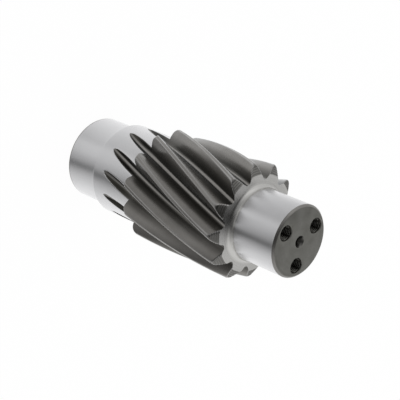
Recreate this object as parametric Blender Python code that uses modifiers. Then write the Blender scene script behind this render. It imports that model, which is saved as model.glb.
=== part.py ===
# Helical pinion shaft, turned and hobbed from one bar of steel.
# From the ground up it has a large bearing journal, a collar, helical teeth that run out into the
# collar, and a small bearing journal whose end is tapped for three screws.
# The shaft stands on its large journal. +Z is its axis and the origin is the middle of its foot.
import math

import bmesh
import bpy
from mathutils import Matrix, Vector

# Lengths along the shaft, in metres
LARGE_JOURNAL_LENGTH = 0.047
COLLAR_LENGTH = 0.060
TOOTHING_LENGTH = 0.133
SMALL_JOURNAL_LENGTH = 0.058

# Radii of the turned steps
LARGE_JOURNAL_RADIUS = 0.045
COLLAR_RADIUS = 0.050
SMALL_JOURNAL_RADIUS = 0.0375

# Edges of the turned steps
JOURNAL_CHAMFER = 0.002
COLLAR_CHAMFER = 0.0018
COLLAR_FILLET_RADIUS = 0.0012
SHOULDER_FILLET_RADIUS = 0.006

# Tooth ends: a chamfer towards the small journal, a round towards the collar
TOOTH_CHAMFER_WIDTH = 0.0104
TOOTH_CHAMFER_LENGTH = 0.0055
TOOTH_END_RADIUS = 0.005

# Helical teeth, right-hand
TOOTH_COUNT = 12
NORMAL_MODULE = 0.008
HELIX_ANGLE = math.radians(17.6)
PRESSURE_ANGLE = math.radians(20.0)
PROFILE_SHIFT = 0.30
ADDENDUM = 1.05
DEDENDUM = 0.93
ROOT_FILLET_RADIUS = 0.0044
FIRST_SPACE_ANGLE = math.radians(1.7)

# The hob leaves each space in an arc that fades out in the collar
HOB_RADIUS = 0.110
HOB_APPROACH = 0.003
FULL_DEPTH_OVERRUN = 0.011
HOB_CLEARANCE = 0.0015

# Tapped holes in the end of the small journal
SCREW_HOLE_COUNT = 3
SCREW_CIRCLE_RADIUS = 0.025
SCREW_CORE_RADIUS = 0.007
SCREW_MOUTH_RADIUS = 0.0088
SCREW_HOLE_DEPTH = 0.038
DRILL_POINT_ANGLE = math.radians(118.0)
FIRST_SCREW_ANGLE = math.radians(99.5)

# Centre holes in both ends, from turning between centres
CENTRE_MOUTH_RADIUS = 0.0062
CENTRE_PILOT_RADIUS = 0.00315
CENTRE_PILOT_DEPTH = 0.0055
CENTRE_CONE_ANGLE = math.radians(60.0)

# Fineness of the facets
SHAFT_STEPS = 64
HOLE_STEPS = 16
FILLET_STEPS = 3
FLANK_STEPS = 5
HELIX_STEPS = 10
RUN_OUT_STEPS = 5
SHARP_ANGLE = math.radians(30.0)
WELD_DISTANCE = 0.00001
DRILL_OVERRUN = 0.002

# Heights, radii and angles that follow from the dimensions above
TOOTHING_FOOT = LARGE_JOURNAL_LENGTH + COLLAR_LENGTH
SHOULDER = TOOTHING_FOOT + TOOTHING_LENGTH
SHAFT_LENGTH = SHOULDER + SMALL_JOURNAL_LENGTH
TRANSVERSE_MODULE = NORMAL_MODULE / math.cos(HELIX_ANGLE)
TRANSVERSE_PRESSURE_ANGLE = math.atan(math.tan(PRESSURE_ANGLE) / math.cos(HELIX_ANGLE))
PITCH_RADIUS = TRANSVERSE_MODULE * TOOTH_COUNT / 2
BASE_RADIUS = PITCH_RADIUS * math.cos(TRANSVERSE_PRESSURE_ANGLE)
TIP_RADIUS = PITCH_RADIUS + (ADDENDUM + PROFILE_SHIFT) * NORMAL_MODULE
ROOT_RADIUS = PITCH_RADIUS - (DEDENDUM - PROFILE_SHIFT) * NORMAL_MODULE
TWIST_PER_METRE = math.tan(HELIX_ANGLE) / PITCH_RADIUS


def clear_scene():
    for scene_object in list(bpy.data.objects):
        bpy.data.objects.remove(scene_object, do_unlink=True)


def new_collection(name):
    collection = bpy.data.collections.new(name)
    bpy.context.scene.collection.children.link(collection)
    return collection


def steel(name, colour, roughness):
    material = bpy.data.materials.new(name)
    material.use_nodes = True
    shader = material.node_tree.nodes["Principled BSDF"]
    shader.inputs["Base Color"].default_value = (*colour, 1.0)
    shader.inputs["Roughness"].default_value = roughness
    shader.inputs["Metallic"].default_value = 1.0
    return material


def turn(name, profile, steps, collection):
    """Turn a profile, which runs from top to bottom, around the Z axis into a closed solid."""
    mesh = bpy.data.meshes.new(name)
    vertices = [(radius, 0.0, height) for radius, height in profile]
    edges = [(index, index + 1) for index in range(len(profile) - 1)]
    mesh.from_pydata(vertices, edges, [])
    turned = bpy.data.objects.new(name, mesh)
    collection.objects.link(turned)
    screw = turned.modifiers.new("Turn", "SCREW")
    screw.angle = math.tau
    screw.steps = steps
    screw.render_steps = steps
    screw.use_merge_vertices = True
    screw.merge_threshold = WELD_DISTANCE
    return turned


def make_real(shaped):
    """Keep what an object's modifiers make of it as its own mesh."""
    depsgraph = bpy.context.evaluated_depsgraph_get()
    mesh = bpy.data.meshes.new_from_object(shaped.evaluated_get(depsgraph))
    shaped.modifiers.clear()
    shaped.data = mesh


def weld(mesh):
    """Close the hair-thin gaps that cuts leave where they meet a corner."""
    welded = bmesh.new()
    welded.from_mesh(mesh)
    bmesh.ops.remove_doubles(welded, verts=welded.verts, dist=WELD_DISTANCE)
    bmesh.ops.dissolve_degenerate(welded, edges=welded.edges, dist=WELD_DISTANCE)
    welded.to_mesh(mesh)
    welded.free()


def hide_cutter(cutter):
    cutter.hide_render = True
    cutter.display_type = "WIRE"


# Turned blank


def arc(radius, height, arc_radius, start_angle, end_angle):
    """Rounded corner of the turned profile, around a centre at a radius and a height."""
    points = []
    for step in range(FILLET_STEPS + 1):
        angle = start_angle + (end_angle - start_angle) * step / FILLET_STEPS
        points.append((radius + arc_radius * math.cos(angle), height + arc_radius * math.sin(angle)))
    return points


def shaft_profile():
    """Outline of the turned blank, from the middle of the tapped end down to the middle of the foot."""
    tooth_end_radius = min(TOOTH_END_RADIUS, 0.9 * (TIP_RADIUS - COLLAR_RADIUS))
    profile = [(0.0, SHAFT_LENGTH)]
    profile.append((SMALL_JOURNAL_RADIUS - JOURNAL_CHAMFER, SHAFT_LENGTH))
    profile.append((SMALL_JOURNAL_RADIUS, SHAFT_LENGTH - JOURNAL_CHAMFER))
    profile += arc(
        SMALL_JOURNAL_RADIUS + SHOULDER_FILLET_RADIUS,
        SHOULDER + SHOULDER_FILLET_RADIUS,
        SHOULDER_FILLET_RADIUS,
        math.pi,
        1.5 * math.pi,
    )
    profile.append((TIP_RADIUS - TOOTH_CHAMFER_WIDTH, SHOULDER))
    profile.append((TIP_RADIUS, SHOULDER - TOOTH_CHAMFER_LENGTH))
    profile += arc(
        TIP_RADIUS - tooth_end_radius,
        TOOTHING_FOOT + tooth_end_radius,
        tooth_end_radius,
        0.0,
        -math.pi / 2,
    )
    profile.append((COLLAR_RADIUS, TOOTHING_FOOT))
    profile.append((COLLAR_RADIUS, LARGE_JOURNAL_LENGTH + COLLAR_CHAMFER))
    profile.append((COLLAR_RADIUS - COLLAR_CHAMFER, LARGE_JOURNAL_LENGTH))
    profile += arc(
        LARGE_JOURNAL_RADIUS + COLLAR_FILLET_RADIUS,
        LARGE_JOURNAL_LENGTH - COLLAR_FILLET_RADIUS,
        COLLAR_FILLET_RADIUS,
        math.pi / 2,
        math.pi,
    )
    profile.append((LARGE_JOURNAL_RADIUS, JOURNAL_CHAMFER))
    profile.append((LARGE_JOURNAL_RADIUS - JOURNAL_CHAMFER, 0.0))
    profile.append((0.0, 0.0))
    return profile


def paint_blank(blank, ground_steel, hardened_steel):
    """The journals, the collar and the shoulder are ground. The teeth and the tapped end stay dark."""
    blank.data.materials.append(ground_steel)
    blank.data.materials.append(hardened_steel)
    for face in blank.data.polygons:
        at_teeth = face.center.xy.length > COLLAR_RADIUS
        at_tapped_end = face.center.z > SHAFT_LENGTH - JOURNAL_CHAMFER
        face.material_index = 1 if at_teeth or at_tapped_end else 0


# Spaces between the teeth


def involute(angle):
    return math.tan(angle) - angle


def space_half_angle(radius):
    """Half of the angle that a space between two teeth spans at a radius."""
    tooth_at_pitch = (math.pi / 2 + 2 * PROFILE_SHIFT * math.tan(PRESSURE_ANGLE)) / TOOTH_COUNT
    pressure_angle = math.acos(min(1.0, BASE_RADIUS / radius))
    opening = involute(pressure_angle) - involute(TRANSVERSE_PRESSURE_ANGLE)
    return math.pi / TOOTH_COUNT - tooth_at_pitch + opening


def polar(radius, angle):
    return Vector((radius * math.cos(angle), radius * math.sin(angle), 0.0))


def root_corner():
    """Rounded corner of a space, from the foot of its flank to the root circle."""
    flank_angle = space_half_angle(BASE_RADIUS)
    widest = ROOT_RADIUS * math.sin(flank_angle) / (1 - math.sin(flank_angle))
    radius = min(ROOT_FILLET_RADIUS, 0.9 * widest)
    centre_angle = flank_angle - math.asin(radius / (ROOT_RADIUS + radius))
    centre = polar(ROOT_RADIUS + radius, centre_angle)
    points = []
    for step in range(FILLET_STEPS + 1):
        share = step / FILLET_STEPS
        direction = (flank_angle + math.pi / 2) * (1 - share) + (centre_angle + math.pi) * share
        points.append(centre + polar(radius, direction))
    return points


def flank(outer_radius, foot_radius):
    """Involute flank of a space, from outside the tip circle down to just above its foot."""
    outer_roll = math.sqrt((outer_radius / BASE_RADIUS) ** 2 - 1)
    foot_roll = math.sqrt(max(0.0, (foot_radius / BASE_RADIUS) ** 2 - 1))
    points = []
    for step in range(FLANK_STEPS):
        roll = outer_roll + (foot_roll - outer_roll) * step / FLANK_STEPS
        radius = BASE_RADIUS * math.sqrt(1 + roll * roll)
        points.append(polar(radius, space_half_angle(radius)))
    return points


def space_outline():
    """Cross-section of a space, with its middle along +X and its crown clear of the tip circle."""
    corner = root_corner()
    outer_radius = TIP_RADIUS + HOB_CLEARANCE
    crown = polar(outer_radius * 1.05, space_half_angle(outer_radius) / 2)
    side = [crown] + flank(outer_radius, corner[0].length) + corner
    other_side = [Vector((point.x, -point.y, 0.0)) for point in reversed(side)]
    return side + other_side


def hob_stations():
    """Height and lift of the hob, from above the shoulder down to where it is clear of the collar."""
    top = SHOULDER + HOB_APPROACH
    full_depth_end = TOOTHING_FOOT - FULL_DEPTH_OVERRUN
    stations = []
    for step in range(HELIX_STEPS + 1):
        stations.append((top + (full_depth_end - top) * step / HELIX_STEPS, 0.0))
    last_lift = max(0.0, COLLAR_RADIUS - ROOT_RADIUS) + HOB_CLEARANCE
    last_angle = math.acos(1 - last_lift / HOB_RADIUS)
    for step in range(1, RUN_OUT_STEPS + 1):
        angle = last_angle * step / RUN_OUT_STEPS
        stations.append((full_depth_end - HOB_RADIUS * math.sin(angle), HOB_RADIUS * (1 - math.cos(angle))))
    return stations


def section_placement(height, lift, space_angle):
    """A space's cross-section is lifted away from the axis, then turned around it by the helix."""
    twist = space_angle + (height - SHOULDER) * TWIST_PER_METRE
    return Matrix.Rotation(twist, 4, "Z") @ Matrix.Translation((lift, 0.0, height))


def sweep_space(cutter_mesh, space_angle):
    """Extrude the cross-section of one space from station to station along its helix."""
    stations = hob_stations()
    placement = section_placement(*stations[0], space_angle)
    corners = [cutter_mesh.verts.new(placement @ point) for point in space_outline()]
    sections = [cutter_mesh.faces.new(corners)]
    for height, lift in stations[1:]:
        extruded = bmesh.ops.extrude_face_region(cutter_mesh, geom=[sections[-1]])
        section = next(item for item in extruded["geom"] if isinstance(item, bmesh.types.BMFace))
        next_placement = section_placement(height, lift, space_angle)
        bmesh.ops.transform(cutter_mesh, matrix=next_placement @ placement.inverted(), verts=section.verts)
        placement = next_placement
        sections.append(section)
    bmesh.ops.delete(cutter_mesh, geom=sections[1:-1], context="FACES_ONLY")


def hob_cutter(material, collection):
    """All the spaces between the teeth, as one cutter."""
    cutter_mesh = bmesh.new()
    for space in range(TOOTH_COUNT):
        sweep_space(cutter_mesh, FIRST_SPACE_ANGLE + math.tau * space / TOOTH_COUNT)
    bmesh.ops.recalc_face_normals(cutter_mesh, faces=cutter_mesh.faces)
    mesh = bpy.data.meshes.new("hob")
    cutter_mesh.to_mesh(mesh)
    cutter_mesh.free()
    mesh.materials.append(material)
    cutter = bpy.data.objects.new("hob", mesh)
    collection.objects.link(cutter)
    hide_cutter(cutter)
    return cutter


# Holes in the ends


def screw_hole_profile():
    """Outline of a tapped hole's core, its chamfered mouth and its drill point, from its mouth down."""
    point_depth = SCREW_CORE_RADIUS / math.tan(DRILL_POINT_ANGLE / 2)
    return [
        (0.0, DRILL_OVERRUN),
        (SCREW_MOUTH_RADIUS, DRILL_OVERRUN),
        (SCREW_MOUTH_RADIUS, 0.0),
        (SCREW_CORE_RADIUS, SCREW_CORE_RADIUS - SCREW_MOUTH_RADIUS),
        (SCREW_CORE_RADIUS, -SCREW_HOLE_DEPTH),
        (0.0, -SCREW_HOLE_DEPTH - point_depth),
    ]


def centre_hole_profile():
    """Outline of a centre hole, with its cone and its pilot, from its mouth down."""
    cone_depth = (CENTRE_MOUTH_RADIUS - CENTRE_PILOT_RADIUS) / math.tan(CENTRE_CONE_ANGLE / 2)
    pilot_end = cone_depth + CENTRE_PILOT_DEPTH
    point_depth = CENTRE_PILOT_RADIUS / math.tan(DRILL_POINT_ANGLE / 2)
    return [
        (0.0, DRILL_OVERRUN),
        (CENTRE_MOUTH_RADIUS, DRILL_OVERRUN),
        (CENTRE_MOUTH_RADIUS, 0.0),
        (CENTRE_PILOT_RADIUS, -cone_depth),
        (CENTRE_PILOT_RADIUS, -pilot_end),
        (0.0, -pilot_end - point_depth),
    ]


def drill(name, profile, location, tilt, material, collection):
    cutter = turn(name, profile, HOLE_STEPS, collection)
    cutter.location = location
    cutter.rotation_euler = (tilt, 0.0, 0.0)
    cutter.data.materials.append(material)
    hide_cutter(cutter)
    return cutter


def drill_ends(material, collection):
    for hole in range(SCREW_HOLE_COUNT):
        angle = FIRST_SCREW_ANGLE + math.tau * hole / SCREW_HOLE_COUNT
        location = polar(SCREW_CIRCLE_RADIUS, angle) + Vector((0.0, 0.0, SHAFT_LENGTH))
        drill(f"screw_hole_{hole + 1}", screw_hole_profile(), location, 0.0, material, collection)
    drill("top_centre", centre_hole_profile(), (0.0, 0.0, SHAFT_LENGTH), 0.0, material, collection)
    drill("foot_centre", centre_hole_profile(), (0.0, 0.0, 0.0), math.pi, material, collection)


def build_pinion_shaft():
    clear_scene()
    parts = new_collection("helical_pinion_shaft")
    cutters = new_collection("cutters")
    ground_steel = steel("ground_steel", (0.62, 0.62, 0.63), 0.25)
    hardened_steel = steel("hardened_steel", (0.13, 0.12, 0.11), 0.42)

    shaft = turn("pinion_shaft", shaft_profile(), SHAFT_STEPS, parts)
    make_real(shaft)
    paint_blank(shaft, ground_steel, hardened_steel)

    hob_cutter(hardened_steel, cutters)
    drill_ends(hardened_steel, cutters)
    cut = shaft.modifiers.new("Cut", "BOOLEAN")
    cut.operation = "DIFFERENCE"
    cut.operand_type = "COLLECTION"
    cut.collection = cutters
    cut.solver = "EXACT"
    cut.material_mode = "TRANSFER"
    make_real(shaft)
    weld(shaft.data)
    shaft.data.shade_smooth()
    shaft.data.set_sharp_from_angle(angle=SHARP_ANGLE)


build_pinion_shaft()
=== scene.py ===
# A helical pinion shaft, standing on its large journal on a pale floor.
import math

import bmesh
import bpy
from mathutils import Matrix, Vector


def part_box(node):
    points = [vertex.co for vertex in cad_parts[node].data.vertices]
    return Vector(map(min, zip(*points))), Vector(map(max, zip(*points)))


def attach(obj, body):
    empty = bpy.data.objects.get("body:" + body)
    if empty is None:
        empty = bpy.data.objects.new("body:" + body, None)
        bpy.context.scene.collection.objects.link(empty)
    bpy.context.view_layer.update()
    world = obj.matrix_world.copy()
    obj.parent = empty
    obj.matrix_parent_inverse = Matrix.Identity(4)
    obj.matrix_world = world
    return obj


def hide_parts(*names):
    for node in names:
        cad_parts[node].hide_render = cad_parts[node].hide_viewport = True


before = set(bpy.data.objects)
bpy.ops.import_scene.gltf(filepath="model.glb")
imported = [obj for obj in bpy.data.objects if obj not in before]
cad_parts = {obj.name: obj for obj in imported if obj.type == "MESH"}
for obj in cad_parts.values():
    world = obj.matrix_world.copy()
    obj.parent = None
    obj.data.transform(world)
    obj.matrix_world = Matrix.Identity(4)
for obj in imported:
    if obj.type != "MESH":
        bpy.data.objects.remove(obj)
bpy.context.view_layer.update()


# Shaft
#
# The real shaft is one bar of case-hardened steel, turned between centres. The journals and the
# collar are ground bright, and the thick part has twelve right-hand helical teeth, cut by a hob
# that leaves each space in an arc fading out in the collar.

foot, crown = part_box("pinion_shaft")
SHAFT_LENGTH = crown.z - foot.z
TIP_RADIUS = crown.x
LARGE_JOURNAL_RADIUS = 0.045
LARGE_JOURNAL_LENGTH = 0.047
COLLAR_RADIUS = 0.050
COLLAR_TOP = 0.107
SHOULDER = 0.240
SMALL_JOURNAL_RADIUS = 0.0375

JOURNAL_CHAMFER = 0.002
COLLAR_ROUND = 0.0025
COLLAR_FILLET = 0.0012
SHOULDER_FILLET = 0.006
TOOTH_CHAMFER_WIDTH = 0.0104
TOOTH_CHAMFER_LENGTH = 0.0055
TOOTH_END_ROUND = 0.005
TOOTH_END_LEAN = 0.0003

# Edges of the journals: width of a broken edge, how far its corners sink in, its width across the
# foot's chamfer, and how far the foot's dark ring reaches over the chamfer
BROKEN_EDGE = 0.0003
EDGE_SINK = 0.00008
FOOT_EDGE_WIDTH = 0.00053
DARK_EDGE = 0.001

TOOTH_COUNT = 12
NORMAL_MODULE = 0.008
HELIX_ANGLE = math.radians(17.6)
PRESSURE_ANGLE = math.radians(20)
PROFILE_SHIFT = 0.30
DEDENDUM = 0.93
ROOT_FILLET = 0.0038
ROOT_JOIN = 0.0515
CREST_ROUND = 0.0008
LARGEST_ROUNDED_SHARE = 0.3
FIRST_SPACE = math.radians(1.7)
PITCH_RADIUS = NORMAL_MODULE / math.cos(HELIX_ANGLE) * TOOTH_COUNT / 2
SIDE_PRESSURE = math.atan(math.tan(PRESSURE_ANGLE) / math.cos(HELIX_ANGLE))
BASE_RADIUS = PITCH_RADIUS * math.cos(SIDE_PRESSURE)
ROOT_RADIUS = PITCH_RADIUS - (DEDENDUM - PROFILE_SHIFT) * NORMAL_MODULE
TWIST = math.tan(HELIX_ANGLE) / PITCH_RADIUS
TOOTH_PITCH = math.tau / TOOTH_COUNT

HOB_RADIUS = 0.110
FULL_DEPTH_END = 0.096

# Points of the exact space: around its root, and up its flank to a little past the tips. The first
# few, on its floor, are in every outline
ROOT_POINTS = 20
FLANK_POINTS = 40
PAST_TIP = 0.001
FLOOR_POINTS = 6

# Corners of one ring: along half a space, around the edge of a crest, and along half a crest
SPACE_STEPS = 16
EDGE_STEPS = 3
CREST_STEPS = 5
HALF_TOOTH = SPACE_STEPS + EDGE_STEPS + CREST_STEPS

# The corners lie closer together near the root, and the rings near the tips of the run-outs
CROWDING = 1.4

# Places closer than this count as one
HAIR = 0.00001


def polar(radius, angle):
    """Point at a radius and an angle around the axis."""
    return radius * Vector((math.cos(angle), math.sin(angle)))


def rounded(start, corner, end, share):
    """Point at a share of the curve that rounds a corner off."""
    return start.lerp(corner, share).lerp(corner.lerp(end, share), share)


def quarter(steps):
    """Angles of a quarter turn in even steps."""
    return [math.radians(90) * step / steps for step in range(steps + 1)]


def half_space_angle(radius):
    """Half of the angle that a space between two teeth opens to at a radius."""
    rolled = math.acos(BASE_RADIUS / max(radius, BASE_RADIUS))
    opening = math.tan(rolled) - rolled - math.tan(SIDE_PRESSURE) + SIDE_PRESSURE
    tooth = (math.pi / 2 + 2 * PROFILE_SHIFT * math.tan(PRESSURE_ANGLE)) / TOOTH_COUNT
    return math.pi / TOOTH_COUNT - tooth + opening


def half_space():
    """Points from the middle of a space's floor, around its root and up its involute flank."""
    centre = Vector((ROOT_RADIUS + ROOT_FILLET, 0))
    out = polar(ROOT_JOIN, half_space_angle(ROOT_JOIN)) - centre
    wall_angle = math.atan2(out.y, out.x) + math.acos(ROOT_FILLET / out.length)
    points = []
    for step in range(ROOT_POINTS + 1):
        angle = math.pi + (wall_angle - math.pi) * step / ROOT_POINTS
        points.append(centre + polar(ROOT_FILLET, angle))
    for step in range(FLANK_POINTS + 1):
        radius = ROOT_JOIN + (TIP_RADIUS + PAST_TIP - ROOT_JOIN) * step / FLANK_POINTS
        points.append(polar(radius, half_space_angle(radius)))
    return points


SPACE = half_space()


def along(points, lengths, length):
    """Point at a length along a row of points."""
    for index in range(1, len(points)):
        if lengths[index] >= length:
            share = (length - lengths[index - 1]) / (lengths[index] - lengths[index - 1])
            return points[index - 1].lerp(points[index], share)
    return points[-1].copy()


def half_outline(height, blank_radius, edge_round):
    """Outline at a height, from the middle of a space to the middle of the next tooth."""
    drop = max(0.0, FULL_DEPTH_END - height)
    lift = HOB_RADIUS - math.sqrt(max(0.0, HOB_RADIUS ** 2 - drop ** 2))
    shift = Vector((min(lift, blank_radius - ROOT_RADIUS - HAIR), 0.0))
    cut = [SPACE[0] + shift]
    lengths = [0.0]
    for point in SPACE[1:]:
        moved = point + shift
        leaves_blank = moved.length > blank_radius and len(cut) > FLOOR_POINTS
        if leaves_blank:
            share = (blank_radius - cut[-1].length) / (moved.length - cut[-1].length)
            moved = cut[-1].lerp(moved, share)
        lengths.append(lengths[-1] + (moved - cut[-1]).length)
        cut.append(moved)
        if leaves_blank:
            break
    corner = cut[-1]
    rounding = min(edge_round, LARGEST_ROUNDED_SHARE * lengths[-1])
    outline = []
    for step in range(SPACE_STEPS + 1):
        share = (step / SPACE_STEPS) ** CROWDING
        outline.append(along(cut, lengths, (lengths[-1] - rounding) * share))
    edge_start = outline[-1]
    crest_angle = math.atan2(corner.y, corner.x) + rounding / blank_radius
    crest_start = polar(blank_radius, crest_angle)
    for step in range(1, EDGE_STEPS):
        outline.append(rounded(edge_start, corner, crest_start, step / EDGE_STEPS))
    for step in range(CREST_STEPS + 1):
        angle = crest_angle + (TOOTH_PITCH / 2 - crest_angle) * step / CREST_STEPS
        outline.append(polar(blank_radius, angle))
    return outline


def space_angle(height):
    """Angle around the axis of the first space's middle at a height."""
    return FIRST_SPACE + (height - SHOULDER) * TWIST


def ring_corners(height, blank_radius, edge_round):
    """All corners of the shaft's outline at a height, in order around the axis."""
    half = half_outline(height, blank_radius, edge_round)
    mirrored = [Vector((point.x, -point.y)) for point in reversed(half[1:-1])]
    corners = []
    for space in range(TOOTH_COUNT):
        turn = Matrix.Rotation(space_angle(height) + space * TOOTH_PITCH, 2)
        corners += [turn @ point for point in mirrored + half]
    return [Vector((corner.x, corner.y, height)) for corner in corners]


def even_angles(height):
    """Angles that divide a circle evenly, in line with the spaces at a height."""
    step = TOOTH_PITCH / (2 * HALF_TOOTH)
    first = space_angle(height) - (HALF_TOOTH - 1) * step
    return [first + number * step for number in range(2 * HALF_TOOTH * TOOTH_COUNT)]


def raised_face(shaft):
    """The corners of the shaft's top face, each with its number around the ring."""
    mesh = bmesh.from_edit_mesh(shaft.data)
    number = mesh.verts.layers.int["number"]
    return [(corner, corner[number]) for corner in mesh.verts if corner.select]


def turn_to(shaft, height, radius, angles):
    """Extrude the shaft's top face up to a height, with its corners at angles around a circle."""
    bpy.ops.mesh.extrude_region_move()
    for corner, number in raised_face(shaft):
        angle = angles[number]
        corner.co = (radius * math.cos(angle), radius * math.sin(angle), height)


def hob_to(shaft, height, blank_radius, edge_round=CREST_ROUND):
    """Extrude the shaft's top face up to a height and cut its edge to the tooth outline there."""
    bpy.ops.mesh.extrude_region_move()
    corners = ring_corners(height, blank_radius, edge_round)
    for corner, number in raised_face(shaft):
        corner.co = corners[number]


TONGUE_LIFT = COLLAR_RADIUS - ROOT_RADIUS
TONGUE_LENGTH = math.sqrt(HOB_RADIUS ** 2 - (HOB_RADIUS - TONGUE_LIFT) ** 2)
TONGUE_TIP = FULL_DEPTH_END - TONGUE_LENGTH
start_corners = ring_corners(TONGUE_TIP, COLLAR_RADIUS, CREST_ROUND)
lower_angles = even_angles(TONGUE_TIP)
bpy.ops.object.select_all(action="DESELECT")
bpy.ops.mesh.primitive_circle_add(
    vertices=len(start_corners), radius=LARGE_JOURNAL_RADIUS, fill_type="NGON"
)
shaft = bpy.context.object
shaft.name = "shaft"
bpy.ops.object.mode_set(mode="EDIT")
foot_face = bmesh.from_edit_mesh(shaft.data)
number = foot_face.verts.layers.int.new("number")
foot_radius = LARGE_JOURNAL_RADIUS - JOURNAL_CHAMFER - BROKEN_EDGE
for index, corner in enumerate(foot_face.verts):
    angle = lower_angles[index]
    corner[number] = index
    corner.co = (foot_radius * math.cos(angle), foot_radius * math.sin(angle), 0)
bpy.ops.mesh.select_all(action="SELECT")

# Large journal, from its foot chamfer up to the fillet under the collar
for height, radius in (
    (EDGE_SINK, foot_radius + BROKEN_EDGE - EDGE_SINK),
    (BROKEN_EDGE, foot_radius + FOOT_EDGE_WIDTH),
    (JOURNAL_CHAMFER - BROKEN_EDGE, LARGE_JOURNAL_RADIUS - BROKEN_EDGE),
    (JOURNAL_CHAMFER, LARGE_JOURNAL_RADIUS - EDGE_SINK),
    (JOURNAL_CHAMFER + BROKEN_EDGE, LARGE_JOURNAL_RADIUS),
    (JOURNAL_CHAMFER + DARK_EDGE, LARGE_JOURNAL_RADIUS),
):
    turn_to(shaft, height, radius, lower_angles)
for angle in quarter(4):
    height = LARGE_JOURNAL_LENGTH - COLLAR_FILLET * (1 - math.sin(angle))
    radius = LARGE_JOURNAL_RADIUS + COLLAR_FILLET * (1 - math.cos(angle))
    turn_to(shaft, height, radius, lower_angles)

# Collar, up to the tips of the run-outs, with its corners sliding over to those of the teeth
SLIDE_RINGS = 7
SLIDE_RISE = 0.0014
UNDER_TIPS = 0.0006
for angle in quarter(8):
    height = LARGE_JOURNAL_LENGTH + COLLAR_ROUND * (1 - math.cos(angle))
    turn_to(shaft, height, COLLAR_RADIUS - COLLAR_ROUND * (1 - math.sin(angle)), lower_angles)
for step in range(SLIDE_RINGS + 1):
    angles = []
    for even, corner in zip(lower_angles, start_corners):
        slide = (math.atan2(corner.y, corner.x) - even + math.pi) % math.tau - math.pi
        angles.append(even + slide * step / SLIDE_RINGS)
    height = TONGUE_TIP - UNDER_TIPS - SLIDE_RISE * (SLIDE_RINGS - step)
    turn_to(shaft, height, COLLAR_RADIUS, angles)

# Run-outs in the collar
RUN_OUT_RINGS = 30
TEETH_FOOT = COLLAR_TOP - TOOTH_END_LEAN
for step in range(RUN_OUT_RINGS + 1):
    share = (step / RUN_OUT_RINGS) ** CROWDING
    hob_to(shaft, TONGUE_TIP + (TEETH_FOOT - TONGUE_TIP) * share, COLLAR_RADIUS)

# Tooth ends over the collar: almost flat, with a rounded edge
TOOTH_END_RINGS = 5
END_FACE_RADIUS = TIP_RADIUS - TOOTH_END_ROUND
for step in range(1, TOOTH_END_RINGS + 1):
    share = step / TOOTH_END_RINGS
    radius = COLLAR_RADIUS + (END_FACE_RADIUS - COLLAR_RADIUS) * share
    hob_to(shaft, COLLAR_TOP - TOOTH_END_LEAN * (1 - share), radius)
for angle in quarter(7)[1:]:
    height = COLLAR_TOP + TOOTH_END_ROUND * (1 - math.cos(angle))
    hob_to(shaft, height, END_FACE_RADIUS + TOOTH_END_ROUND * math.sin(angle))

# Toothing, with crests whose edges widen just before the chamfered ends
TOOTHING_RINGS = 40
END_ROUND = 0.0024
END_CREST_ROUND = 0.002
WIDENING = 8
TOOTHING_FOOT = COLLAR_TOP + TOOTH_END_ROUND
TOOTHING_TOP = SHOULDER - TOOTH_CHAMFER_LENGTH
for step in range(1, TOOTHING_RINGS + 1):
    share = step / TOOTHING_RINGS
    height = TOOTHING_FOOT + (TOOTHING_TOP - END_ROUND - TOOTHING_FOOT) * share
    edge_round = CREST_ROUND + (END_CREST_ROUND - CREST_ROUND) * share ** WIDENING
    hob_to(shaft, height, TIP_RADIUS, edge_round)

# Chamfered tooth ends at the shoulder: a rounded edge, and rings turned by a pointed tool
EDGE_RINGS = 6
CHAMFER_RINGS = 16
GROOVES = 4
GROOVE_DEPTH = 0.0004
CHAMFERED_SHARE = 0.98
SHOULDER_RIM = 0.0002
CHAMFER = Vector((-TOOTH_CHAMFER_WIDTH, TOOTH_CHAMFER_LENGTH))
INTO_TOOTH = Vector((-TOOTH_CHAMFER_LENGTH, -TOOTH_CHAMFER_WIDTH)).normalized()
chamfer_edge = Vector((TIP_RADIUS, TOOTHING_TOP))
before = chamfer_edge - Vector((0, END_ROUND))
after = chamfer_edge + CHAMFER.normalized() * END_ROUND
inner = chamfer_edge + CHAMFERED_SHARE * CHAMFER
for step in range(1, EDGE_RINGS + 1):
    radius, height = rounded(before, chamfer_edge, after, step / EDGE_RINGS)
    hob_to(shaft, height, radius, END_CREST_ROUND)
for step in range(1, CHAMFER_RINGS + 1):
    share = step / CHAMFER_RINGS
    groove = GROOVE_DEPTH * (1 - math.cos(math.tau * GROOVES * share)) / 2
    radius, height = after.lerp(inner, share) + groove * INTO_TOOTH
    hob_to(shaft, height, radius, END_CREST_ROUND)
hob_to(shaft, SHOULDER, TIP_RADIUS - TOOTH_CHAMFER_WIDTH - SHOULDER_RIM, END_CREST_ROUND)

# Shoulder fillet, and small journal up to its chamfer and end face
upper_angles = even_angles(SHOULDER)
for angle in quarter(9):
    height = SHOULDER + SHOULDER_FILLET * (1 - math.cos(angle))
    radius = SMALL_JOURNAL_RADIUS + SHOULDER_FILLET * (1 - math.sin(angle))
    turn_to(shaft, height, radius, upper_angles)
for below_end, inside in (
    (JOURNAL_CHAMFER + BROKEN_EDGE, 0),
    (JOURNAL_CHAMFER, EDGE_SINK),
    (JOURNAL_CHAMFER - BROKEN_EDGE, BROKEN_EDGE),
    (BROKEN_EDGE, JOURNAL_CHAMFER - BROKEN_EDGE),
    (EDGE_SINK, JOURNAL_CHAMFER),
    (0, JOURNAL_CHAMFER + BROKEN_EDGE),
):
    turn_to(shaft, SHAFT_LENGTH - below_end, SMALL_JOURNAL_RADIUS - inside, upper_angles)
bpy.ops.mesh.select_all(action="SELECT")
bpy.ops.mesh.normals_make_consistent(inside=False)
bpy.ops.object.mode_set(mode="OBJECT")


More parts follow.
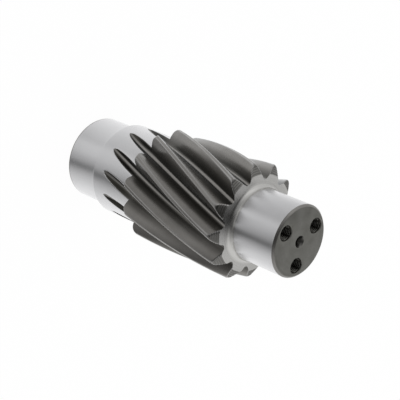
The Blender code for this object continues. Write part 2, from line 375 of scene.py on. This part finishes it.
# Tapped holes
#
# Three M16 holes for an end plate, drilled, chamfered at the mouth and cut with a tap. Each is cut
# here with a plug that has the tap's thread around its upper part and the drill's point at its end.

SCREW_HOLES = 3
SCREW_CIRCLE_RADIUS = 0.025
FIRST_SCREW = math.radians(99.5)
CORE_RADIUS = 0.007
THREAD_RADIUS = 0.0081
MOUTH_RADIUS = 0.0088
THREAD_PITCH = 0.002
THREAD_STEEPNESS = 1.3
THREAD_FLAT = 0.15
HOLE_DEPTH = 0.038
THREAD_DEPTH = 0.026
THREAD_CORNERS = 36
RINGS_PER_TURN = 6

# Depth of a drill's point in radii, and how far the plugs stand out of the end faces
DRILL_POINT = 0.6
STAND_OUT = 0.001


def screw_place(hole):
    """Place of a tapped hole's axis in the end face."""
    return polar(SCREW_CIRCLE_RADIUS, FIRST_SCREW + math.tau * hole / SCREW_HOLES)


def thread_radius(angle, depth):
    """Radius of the threaded wall at an angle around the hole and a depth below its mouth."""
    turn = (depth / THREAD_PITCH + angle / math.tau) % 1.0
    ridge = min(1.0, max(0.0, abs(2 * turn - 1) * THREAD_STEEPNESS - THREAD_FLAT))
    fade = min(1.0, max(0.0, (THREAD_DEPTH - depth) / THREAD_PITCH))
    threaded = CORE_RADIUS + (THREAD_RADIUS - CORE_RADIUS) * ridge * fade
    return max(threaded, MOUTH_RADIUS - depth)


def thread_to(plug, depth):
    """Extrude the plug's end face down to a depth and set its edge out to the thread."""
    bpy.ops.mesh.extrude_region_move()
    for corner in bmesh.from_edit_mesh(plug.data).verts:
        if corner.select:
            angle = math.atan2(corner.co.y, corner.co.x)
            radius = thread_radius(angle, depth)
            height = SHAFT_LENGTH - depth
            corner.co = (radius * math.cos(angle), radius * math.sin(angle), height)


def draw_out(rise):
    """Extrude the end face of a plug along the axis."""
    bpy.ops.mesh.extrude_region_move(TRANSFORM_OT_translate={"value": (0, 0, rise)})


bpy.ops.object.select_all(action="DESELECT")
bpy.ops.mesh.primitive_circle_add(
    vertices=THREAD_CORNERS, radius=MOUTH_RADIUS, fill_type="NGON",
    location=(0, 0, SHAFT_LENGTH + STAND_OUT),
)
plug = bpy.context.object
bpy.ops.object.transform_apply(location=True)
bpy.ops.object.mode_set(mode="EDIT")
bpy.ops.mesh.select_all(action="SELECT")
for ring in range(round(THREAD_DEPTH / THREAD_PITCH) * RINGS_PER_TURN + 1):
    thread_to(plug, ring * THREAD_PITCH / RINGS_PER_TURN)
thread_to(plug, HOLE_DEPTH)
draw_out(-CORE_RADIUS * DRILL_POINT)
bpy.ops.mesh.merge(type="COLLAPSE")
bpy.ops.mesh.select_all(action="SELECT")
bpy.ops.mesh.normals_make_consistent(inside=False)
bpy.ops.object.mode_set(mode="OBJECT")

plugs = []
for hole in range(SCREW_HOLES):
    placed = plug.copy()
    placed.data = plug.data.copy()
    placed.name = f"tap_{hole + 1}"
    bpy.context.collection.objects.link(placed)
    placed.data.transform(Matrix.Translation(screw_place(hole).to_3d()))
    plugs.append(placed)
bpy.data.objects.remove(plug)


# Centre holes
#
# Both ends have the 60 degree centre hole that the shaft was turned and ground on: a cone with a
# small drilled pilot at its bottom.

CENTRE_CORNERS = 48
CENTRE_MOUTH_RADIUS = 0.0062
CENTRE_PILOT_RADIUS = 0.00315
CENTRE_CONE_DEPTH = (CENTRE_MOUTH_RADIUS - CENTRE_PILOT_RADIUS) / math.tan(math.radians(30))
CENTRE_PILOT_DEPTH = 0.0055
NARROWING = CENTRE_PILOT_RADIUS / CENTRE_MOUTH_RADIUS

for name, face, inwards in (("top_centre", SHAFT_LENGTH, -1), ("foot_centre", 0.0, 1)):
    bpy.ops.object.select_all(action="DESELECT")
    bpy.ops.mesh.primitive_circle_add(
        vertices=CENTRE_CORNERS, radius=CENTRE_MOUTH_RADIUS, fill_type="NGON",
        location=(0, 0, face - inwards * STAND_OUT),
    )
    centre = bpy.context.object
    centre.name = name
    bpy.ops.object.transform_apply(location=True)
    bpy.ops.object.mode_set(mode="EDIT")
    bpy.ops.mesh.select_all(action="SELECT")
    draw_out(inwards * STAND_OUT)
    draw_out(inwards * CENTRE_CONE_DEPTH)
    bpy.ops.transform.resize(value=(NARROWING, NARROWING, 1))
    draw_out(inwards * CENTRE_PILOT_DEPTH)
    draw_out(inwards * CENTRE_PILOT_RADIUS * DRILL_POINT)
    bpy.ops.mesh.merge(type="COLLAPSE")
    bpy.ops.mesh.select_all(action="SELECT")
    bpy.ops.mesh.normals_make_consistent(inside=False)
    bpy.ops.object.mode_set(mode="OBJECT")
    plugs.append(centre)

bpy.ops.object.select_all(action="DESELECT")
bpy.context.view_layer.objects.active = shaft
shaft.select_set(True)
for cutter in plugs:
    cut = shaft.modifiers.new(cutter.name, "BOOLEAN")
    cut.operation = "DIFFERENCE"
    cut.solver = "EXACT"
    cut.object = cutter
    bpy.ops.object.modifier_apply(modifier=cut.name)
    bpy.data.objects.remove(cutter)
bpy.ops.object.shade_smooth_by_angle(angle=math.radians(32))

# The shoulder is flat up to its edge around the tooth ends
BESIDE_FILLET = SMALL_JOURNAL_RADIUS + SHOULDER_FILLET + 0.001
for edge in shaft.data.edges:
    ends = [shaft.data.vertices[corner].co for corner in edge.vertices]
    if all(abs(end.z - SHOULDER) < HAIR and end.xy.length > BESIDE_FILLET for end in ends):
        edge.use_edge_sharp = True


# Finish of the shaft
#
# Journals and collar are ground bright, and the shoulder and its fillet are turned. The toothing,
# the end faces and the mouths of the holes are dark from hardening, with light lines where the
# edges of the teeth have been rubbed. Painted shade darkens the lower walls of the tooth spaces and
# the holes.

RUBBED = (0.38, 0.375, 0.37)


def finish(name):
    """A new metal material: its shader and its object coordinates."""
    material = bpy.data.materials.new(name)
    material.use_nodes = True
    nodes = material.node_tree.nodes
    shader = nodes["Principled BSDF"]
    shader.inputs["Metallic"].default_value = 1.0
    place = nodes.new("ShaderNodeTexCoord").outputs["Object"]
    return material, shader, place


def put(material, value, socket):
    """Set a socket to a number, or feed it from another node."""
    if isinstance(value, bpy.types.NodeSocket):
        material.node_tree.links.new(value, socket)
    else:
        socket.default_value = value


def calculate(material, operation, first, second=0.0, clamp=False):
    """Result of an operation on one or two values."""
    node = material.node_tree.nodes.new("ShaderNodeMath")
    node.operation = operation
    node.use_clamp = clamp
    put(material, first, node.inputs[0])
    put(material, second, node.inputs[1])
    return node.outputs[0]


def blotches(material, place, size, detail=4.0, stretch=(1, 1, 1)):
    """Irregular spots of about a size, stretched along the axes."""
    nodes = material.node_tree.nodes
    mapping = nodes.new("ShaderNodeMapping")
    mapping.inputs["Scale"].default_value = [1 / (size * share) for share in stretch]
    noise = nodes.new("ShaderNodeTexNoise")
    noise.inputs["Scale"].default_value = 1.0
    noise.inputs["Detail"].default_value = detail
    put(material, place, mapping.inputs["Vector"])
    put(material, mapping.outputs[0], noise.inputs["Vector"])
    return noise.outputs["Fac"]


def turning_marks(material, place, feed):
    """Fine rings left by a tool that moves on by its feed at each turn, on round and flat faces."""
    nodes = material.node_tree.nodes
    split = nodes.new("ShaderNodeSeparateXYZ")
    put(material, place, split.inputs[0])
    across = calculate(material, "POWER", split.outputs[0], 2.0)
    sideways = calculate(material, "POWER", split.outputs[1], 2.0)
    radius = calculate(material, "SQRT", calculate(material, "ADD", across, sideways))
    diagonal = calculate(material, "ADD", split.outputs[0], split.outputs[1])
    drift = calculate(material, "MULTIPLY", diagonal, 0.02)
    rings = nodes.new("ShaderNodeCombineXYZ")
    put(material, radius, rings.inputs[0])
    put(material, split.outputs[2], rings.inputs[1])
    put(material, drift, rings.inputs[2])
    return blotches(material, rings.outputs[0], feed, 3.0)


def spread(material, value, low, high):
    """A pattern's values brought into a range."""
    node = material.node_tree.nodes.new("ShaderNodeMapRange")
    put(material, value, node.inputs["Value"])
    node.inputs["From Min"].default_value = 0.3
    node.inputs["From Max"].default_value = 0.7
    node.inputs["To Min"].default_value = low
    node.inputs["To Max"].default_value = high
    return node.outputs["Result"]


def tint(material, share, first, second):
    """A colour between two colours."""
    node = material.node_tree.nodes.new("ShaderNodeMix")
    node.data_type = "RGBA"
    put(material, share, node.inputs["Factor"])
    put(material, (*first, 1.0) if isinstance(first, tuple) else first, node.inputs[6])
    put(material, (*second, 1.0) if isinstance(second, tuple) else second, node.inputs[7])
    return node.outputs[2]


def marked(material, name):
    """A value that the mesh carries at each corner."""
    node = material.node_tree.nodes.new("ShaderNodeAttribute")
    node.attribute_name = name
    return node.outputs["Fac"]


def rub(material, scale, dark):
    """A dark colour, with light lines where the edges of the teeth have been rubbed."""
    wear = marked(material, "edge_wear")
    worn = calculate(material, "MULTIPLY", wear, spread(material, scale, 0.5, 1.0), clamp=True)
    return tint(material, worn, dark, RUBBED)


def relief(material, height, depth, shader):
    """Raise and lower a surface by a height of up to a depth."""
    bump = material.node_tree.nodes.new("ShaderNodeBump")
    bump.inputs["Distance"].default_value = depth
    put(material, height, bump.inputs["Height"])
    put(material, bump.outputs[0], shader.inputs["Normal"])


# Ground bright: fine grinding rings and faint traces of handling
ground, shader, place = finish("ground_bright_steel")
grinding = turning_marks(ground, place, 0.0007)
handling = blotches(ground, place, 0.03)
bright = tint(ground, grinding, (0.60, 0.60, 0.61), (0.66, 0.66, 0.67))
put(ground, bright, shader.inputs["Base Color"])
rough = calculate(
    ground, "ADD", spread(ground, grinding, 0.225, 0.245), spread(ground, handling, 0.0, 0.03)
)
put(ground, rough, shader.inputs["Roughness"])
shader.inputs["Anisotropic"].default_value = 0.95
shader.inputs["Anisotropic Rotation"].default_value = 0.25
relief(ground, grinding, 0.000003, shader)

# Turned: shoulder and fillet
turned, shader, place = finish("turned_steel")
feed = turning_marks(turned, place, 0.0008)
bright = tint(turned, feed, (0.45, 0.445, 0.43), (0.60, 0.595, 0.58))
put(turned, bright, shader.inputs["Base Color"])
put(turned, spread(turned, feed, 0.19, 0.29), shader.inputs["Roughness"])
shader.inputs["Anisotropic"].default_value = 0.78
shader.inputs["Anisotropic Rotation"].default_value = 0.25
relief(turned, feed, 0.00003, shader)

# Dark turned: crests of the teeth, and the chamfers and edges of the journals
crests, shader, place = finish("dark_turned_steel")
feed = turning_marks(crests, place, 0.0013)
scale = blotches(crests, place, 0.012)
dark = tint(crests, feed, (0.185, 0.179, 0.169), (0.28, 0.271, 0.258))
put(crests, rub(crests, scale, dark), shader.inputs["Base Color"])
put(crests, spread(crests, scale, 0.30, 0.40), shader.inputs["Roughness"])
relief(crests, feed, 0.00003, shader)

# Dark hobbed: flanks and floors of the tooth spaces, with the hob's feed marks and painted shade
# low down
hobbed, shader, place = finish("dark_hobbed_steel")
scale = blotches(hobbed, place, 0.014)
grain = blotches(hobbed, place, 0.0012, 3.0)
hob_feed = blotches(hobbed, place, 0.0022, 2.0, (12, 12, 1))
dark = tint(hobbed, scale, (0.21, 0.201, 0.189), (0.29, 0.28, 0.266))
# Painted shade: the lower walls of the spaces turn near black, where shade falls
dark = tint(hobbed, marked(hobbed, "painted_shade"), dark, (0.05, 0.048, 0.042))
put(hobbed, rub(hobbed, scale, dark), shader.inputs["Base Color"])
rough = calculate(
    hobbed, "ADD", spread(hobbed, grain, 0.26, 0.28), spread(hobbed, hob_feed, 0.0, 0.04)
)
put(hobbed, rough, shader.inputs["Roughness"])
# Painted reflection: the faint blue tint of the flanks' reflections stands for a bluish room
shader.inputs["Specular Tint"].default_value = (0.96, 0.98, 1.0, 1.0)
relief(hobbed, calculate(hobbed, "ADD", grain, hob_feed), 0.000003, shader)

# Dark tooth ends, chamfered with a pointed tool, and the cones of the centre holes
tooth_ends, shader, place = finish("dark_tooth_ends")
feed = turning_marks(tooth_ends, place, 0.0016)
scale = blotches(tooth_ends, place, 0.006)
dark = tint(tooth_ends, scale, (0.13, 0.127, 0.12), (0.21, 0.206, 0.196))
put(tooth_ends, dark, shader.inputs["Base Color"])
put(tooth_ends, spread(tooth_ends, feed, 0.26, 0.34), shader.inputs["Roughness"])
relief(tooth_ends, feed, 0.00005, shader)

# Dark end faces, and the crests and mouths of the threads
end_face, shader, place = finish("dark_end_face")
feed = turning_marks(end_face, place, 0.0016)
scale = blotches(end_face, place, 0.012)
patches = spread(end_face, scale, 0.0, 1.0)
dark = tint(end_face, patches, (0.163, 0.161, 0.146), (0.223, 0.221, 0.205))
put(end_face, dark, shader.inputs["Base Color"])
rough = calculate(
    end_face, "ADD", spread(end_face, feed, 0.42, 0.5), spread(end_face, scale, 0.0, 0.06)
)
put(end_face, rough, shader.inputs["Roughness"])
relief(end_face, feed, 0.00003, shader)

# Near-black painted shade inside the threads and the pilots of the centre holes
threads, shader, place = finish("thread_steel_painted_shade")
scale = blotches(threads, place, 0.003)
# Painted shade: an almost black colour stands for the shade deep inside the holes
black = tint(threads, scale, (0.008, 0.007, 0.006), (0.032, 0.030, 0.026))
put(threads, black, shader.inputs["Base Color"])
put(threads, spread(threads, scale, 0.3, 0.42), shader.inputs["Roughness"])

finishes = [ground, turned, crests, hobbed, tooth_ends, end_face, threads]
shaft.data.materials.clear()
for material in finishes:
    shaft.data.materials.append(material)

# Where one finish ends and the next begins
hole_axes = [Vector((0, 0))] + [screw_place(hole) for hole in range(SCREW_HOLES)]
HOLES_REACH = SMALL_JOURNAL_RADIUS - 0.004
THREAD_CREST = CORE_RADIUS + 0.0002
THREAD_MOUTH = MOUTH_RADIUS - THREAD_RADIUS
SHOULDER_FOOT = SHOULDER - 0.00012
SHOULDER_REACH = TIP_RADIUS - TOOTH_CHAMFER_WIDTH + 0.0001
CHAMFER_FOOT = TOOTHING_TOP - 0.0001
UNDER_TEETH = TEETH_FOOT - 0.0001
COLLAR_SKIN = COLLAR_RADIUS - 0.00015
CREST_SKIN = COLLAR_RADIUS - 0.0002
FACING_UP = 0.6
FACING_OUT = 0.9


def finish_at(centre, normal, along_edge):
    """The finish of the shaft's surface at a place, and beside the edges of the teeth."""
    radius = centre.xy.length
    from_end = min(centre.z, SHAFT_LENGTH - centre.z)
    from_hole = min((centre.xy - axis).length for axis in hole_axes)
    if from_end > HAIR and radius < HOLES_REACH and from_hole < MOUTH_RADIUS:
        if radius < CENTRE_MOUTH_RADIUS:
            return tooth_ends if from_end < CENTRE_CONE_DEPTH else threads
        on_crest = from_end < THREAD_DEPTH and from_hole < THREAD_CREST
        return end_face if on_crest or from_end < THREAD_MOUTH else threads
    if from_end < EDGE_SINK:
        return end_face
    if from_end < JOURNAL_CHAMFER + BROKEN_EDGE / 2 or centre.z < JOURNAL_CHAMFER + DARK_EDGE:
        return crests
    if centre.z > SHOULDER + SHOULDER_FILLET or centre.z < LARGE_JOURNAL_LENGTH + COLLAR_ROUND:
        return ground
    if centre.z > SHOULDER_FOOT and radius < SHOULDER_REACH:
        return turned
    if centre.z < UNDER_TEETH:
        return ground if radius > COLLAR_SKIN else hobbed
    if centre.z > CHAMFER_FOOT and normal.z > FACING_UP and not along_edge:
        return tooth_ends
    outwards = abs(normal.xy.dot(centre.xy.normalized()))
    if outwards ** 2 + normal.z ** 2 > FACING_OUT and radius > CREST_SKIN:
        return crests
    return hobbed


def share_between(value, start, end):
    """How far a value is on the way from a start to an end, from 0 to 1."""
    return min(1.0, max(0.0, (value - start) / (end - start)))


# Each corner of the mesh carries how far it has been rubbed, and how much painted shade it gets in
# a
# space: low down, on a steep wall, and most of all in the run-outs. The painted shade grows between
# two radii and over a range of slopes, in degrees, and turns to the toothing's between two heights
PAINTED_SHADE_TOP = 0.0565
PAINTED_SHADE_FLOOR = 0.049
RUN_OUT_SLOPE = 14
TOOTHING_SLOPE = 17
SLOPE_RANGE = 15
TOOTHING_PAINTED_SHADE = 0.75
TOOTHING_START = COLLAR_TOP - 0.012
TOOTHING_FULL = COLLAR_TOP + 0.003
for name in ("edge_wear", "painted_shade"):
    shaft.data.attributes.new(name, "FLOAT", "POINT")
numbers = shaft.data.attributes["number"].data
wear = shaft.data.attributes["edge_wear"].data
painted_shade = shaft.data.attributes["painted_shade"].data
for corner in shaft.data.vertices:
    radius = corner.co.xy.length
    from_middle = abs(numbers[corner.index].value % (2 * HALF_TOOTH) - HALF_TOOTH + 1)
    on_edge = SPACE_STEPS < from_middle < SPACE_STEPS + EDGE_STEPS
    on_tooth = UNDER_TEETH < corner.co.z < SHOULDER + HAIR and radius > COLLAR_RADIUS
    wear[corner.index].value = float(on_edge and on_tooth)
    outwards = abs(corner.normal.xy.dot(corner.co.xy.normalized()))
    slope = math.degrees(math.acos(min(1.0, outwards)))
    in_toothing = share_between(corner.co.z, TOOTHING_START, TOOTHING_FULL)
    first_slope = RUN_OUT_SLOPE + (TOOTHING_SLOPE - RUN_OUT_SLOPE) * in_toothing
    wall = share_between(slope, first_slope, first_slope + SLOPE_RANGE)
    depth = share_between(radius, PAINTED_SHADE_TOP, PAINTED_SHADE_FLOOR)
    strength = 1 + (TOOTHING_PAINTED_SHADE - 1) * in_toothing
    painted_shade[corner.index].value = depth * wall * strength

for face in shaft.data.polygons:
    along_edge = min(wear[corner].value for corner in face.vertices) > 0.5
    face.material_index = finishes.index(finish_at(face.center, face.normal, along_edge))


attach(shaft, "root")
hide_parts("pinion_shaft")


# Floor
#
# A wide sheet of white paper that the shaft stands on. It shows as plain white around the shaft
# and still takes its shadow.

bpy.ops.mesh.primitive_plane_add(size=12, location=(0, 0, 0))
floor = bpy.context.object
floor.name = "floor"
paper = bpy.data.materials.new("white_paper")
paper.use_nodes = True
nodes = paper.node_tree.nodes
links = paper.node_tree.links
white = nodes["Principled BSDF"]
white.inputs["Base Color"].default_value = (0.9, 0.9, 0.9, 1.0)
white.inputs["Roughness"].default_value = 0.9
white.inputs["Specular IOR Level"].default_value = 0.0
glow = nodes.new("ShaderNodeEmission")
seen = nodes.new("ShaderNodeLightPath")
whiteness = nodes.new("ShaderNodeMath")
whiteness.operation = "MULTIPLY"
whiteness.inputs[1].default_value = 0.97
both = nodes.new("ShaderNodeMixShader")
links.new(seen.outputs["Is Camera Ray"], whiteness.inputs[0])
links.new(whiteness.outputs[0], both.inputs[0])
links.new(white.outputs[0], both.inputs[1])
links.new(glow.outputs[0], both.inputs[2])
links.new(both.outputs[0], nodes["Material Output"].inputs["Surface"])
floor.data.materials.append(paper)
floor.visible_glossy = False


# Studio
#
# What polished steel sees around it: two wide soft lights at its sides, a plain wall behind it, a
# dark room in front of it, and a table that is bright but for one soft shadow and a dimmer far
# edge. Each pair is the direction, in degrees around the axis, and the strength there.

TABLE = (
    (-156, 1.32), (-108, 1.05), (-74, 0.86), (-56, 0.76), (-38, 0.90), (-12, 0.82), (14, 0.56),
    (29, 0.13), (42, 0.52), (60, 0.76), (84, 0.96), (108, 1.21), (132, 1.27), (180, 1.26),
)
TABLE_EDGE = (
    (-150, 1.0), (-130, 0.75), (-110, 0.60), (-90, 0.55), (-70, 0.50), (-50, 0.55), (-30, 0.80),
    (-10, 0.68), (10, 0.46), (29, 0.18), (50, 0.62), (70, 0.88), (90, 0.97), (112, 1.15),
    (135, 1.17), (180, 1.1),
)
ROOM = (
    (-130, 0.84), (-98, 1.07), (-72, 0.72), (-50, 0.42), (-30, 0.36), (-8, 0.10), (25, 0.09),
    (50, 0.50), (72, 0.90), (98, 1.04), (130, 0.95), (180, 0.62),
)
BRIGHTEST = 1.35
CEILING = 0.08

# Heights over the horizon, in degrees, between which each view gives way to the next
TO_TABLE_EDGE = (-46, -20)
TO_ROOM = (-22, 18)
TO_CEILING = (48, 80)

studio = bpy.data.worlds.new("studio")
bpy.context.scene.world = studio
studio.use_nodes = True
nodes = studio.node_tree.nodes
links = studio.node_tree.links
look = nodes.new("ShaderNodeSeparateXYZ")
links.new(nodes.new("ShaderNodeTexCoord").outputs["Generated"], look.inputs[0])


def work_out(operation, *values):
    """A number worked out from others."""
    node = nodes.new("ShaderNodeMath")
    node.operation = operation
    for value, socket in zip(values, node.inputs):
        if isinstance(value, bpy.types.NodeSocket):
            links.new(value, socket)
        else:
            socket.default_value = value
    return node.outputs[0]


turned_by = work_out("ARCTAN2", look.outputs[1], look.outputs[0])
turned_share = work_out("MULTIPLY_ADD", turned_by, 1 / math.tau, 0.5)


def rise(heights, before, after):
    """A soft change from one strength to another between two heights over the horizon."""
    node = nodes.new("ShaderNodeMapRange")
    node.interpolation_type = "SMOOTHSTEP"
    node.inputs["From Min"].default_value = math.sin(math.radians(heights[0]))
    node.inputs["From Max"].default_value = math.sin(math.radians(heights[1]))
    node.inputs["To Min"].default_value = before
    node.inputs["To Max"].default_value = after
    links.new(look.outputs[2], node.inputs["Value"])
    return node.outputs["Result"]


def around(strengths):
    """Strength of the light all around the shaft, from the pairs of direction and strength."""
    node = nodes.new("ShaderNodeValToRGB")
    ramp = node.color_ramp
    ramp.interpolation = "LINEAR"
    links.new(turned_share, node.inputs[0])
    stops = [(0.0, strengths[-1][1])]
    stops += [((angle + 180) / 360, strength) for angle, strength in strengths]
    while len(ramp.elements) < len(stops):
        ramp.elements.new(1.0)
    for element, (position, strength) in zip(ramp.elements, stops):
        grey = strength / BRIGHTEST
        element.position = position
        element.color = (grey, grey, grey, 1.0)
    return node.outputs[0]


level = around(TABLE)
for higher, heights in ((TABLE_EDGE, TO_TABLE_EDGE), (ROOM, TO_ROOM)):
    between = nodes.new("ShaderNodeMix")
    links.new(rise(heights, 0.0, 1.0), between.inputs["Factor"])
    links.new(level, between.inputs["A"])
    links.new(around(higher), between.inputs["B"])
    level = between.outputs[0]
ceiling = rise(TO_CEILING, BRIGHTEST, CEILING)
seen = nodes.new("ShaderNodeLightPath")
strength = nodes.new("ShaderNodeMix")
strength.inputs["A"].default_value = 1.0
links.new(seen.outputs["Is Glossy Ray"], strength.inputs["Factor"])
links.new(work_out("MULTIPLY", level, ceiling), strength.inputs["B"])
links.new(strength.outputs[0], nodes["Background"].inputs["Strength"])
nodes["Background"].inputs["Color"].default_value = (1, 1, 1, 1)


# Camera

CAMERA_PLACE = Vector((0.90687, -0.25006, 0.96844))
CAMERA_AIM = Vector((0.0001, 0.0003, 0.1615))
CAMERA_ROLL = math.radians(112.98)
camera = bpy.data.objects.new("camera", bpy.data.cameras.new("camera"))
bpy.context.scene.collection.objects.link(camera)
camera.data.sensor_width = 36
camera.data.lens = 107.99
camera.matrix_world = (
    Matrix.Translation(CAMERA_PLACE)
    @ (CAMERA_AIM - CAMERA_PLACE).to_track_quat("-Z", "Y").to_matrix().to_4x4()
    @ Matrix.Rotation(CAMERA_ROLL, 4, "Z")
)
bpy.context.scene.camera = camera
bpy.context.scene.view_settings.view_transform = "Standard"
